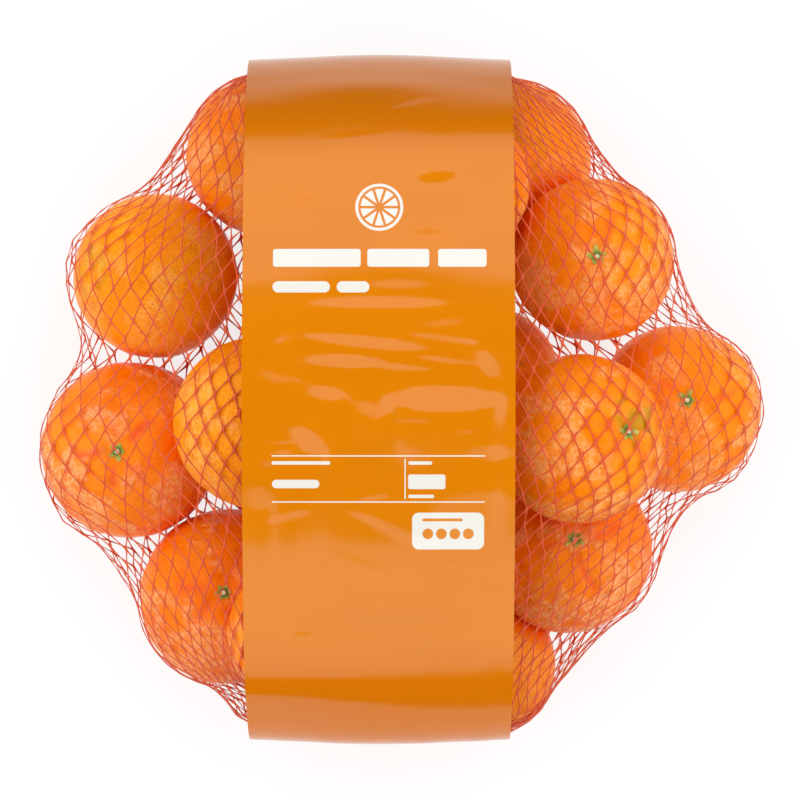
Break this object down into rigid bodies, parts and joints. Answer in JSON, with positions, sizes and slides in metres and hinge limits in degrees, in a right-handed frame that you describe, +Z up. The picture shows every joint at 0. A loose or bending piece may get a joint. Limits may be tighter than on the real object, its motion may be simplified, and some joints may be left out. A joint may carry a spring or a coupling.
{
  "type": "net of mandarins",
  "caption": "Soft knitted net filled with whole mandarins, its ends gathered under a wide film band that wraps round the middle of the pack.",
  "frame": {"origin": "middle of the pack's bounding box from above, at the surface the pack lies on", "axes": "+Z up out of the printed front of the pack, +Y along the band towards its upper end, +X across the band"},
  "size_m": [0.2774, 0.26, 0.1089],
  "materials": {
    "netting": "thin knitted plastic netting, orange red, slightly glossy",
    "film": "opaque glossy film, printed orange, with white shapes",
    "peel": "waxy pitted mandarin peel, orange, semi-gloss",
    "stem": "dry green calyx with a pale stub"
  },
  "bodies": {
    "root": {"net": "netting", "band": "film"}
  },
  "joints": []
}
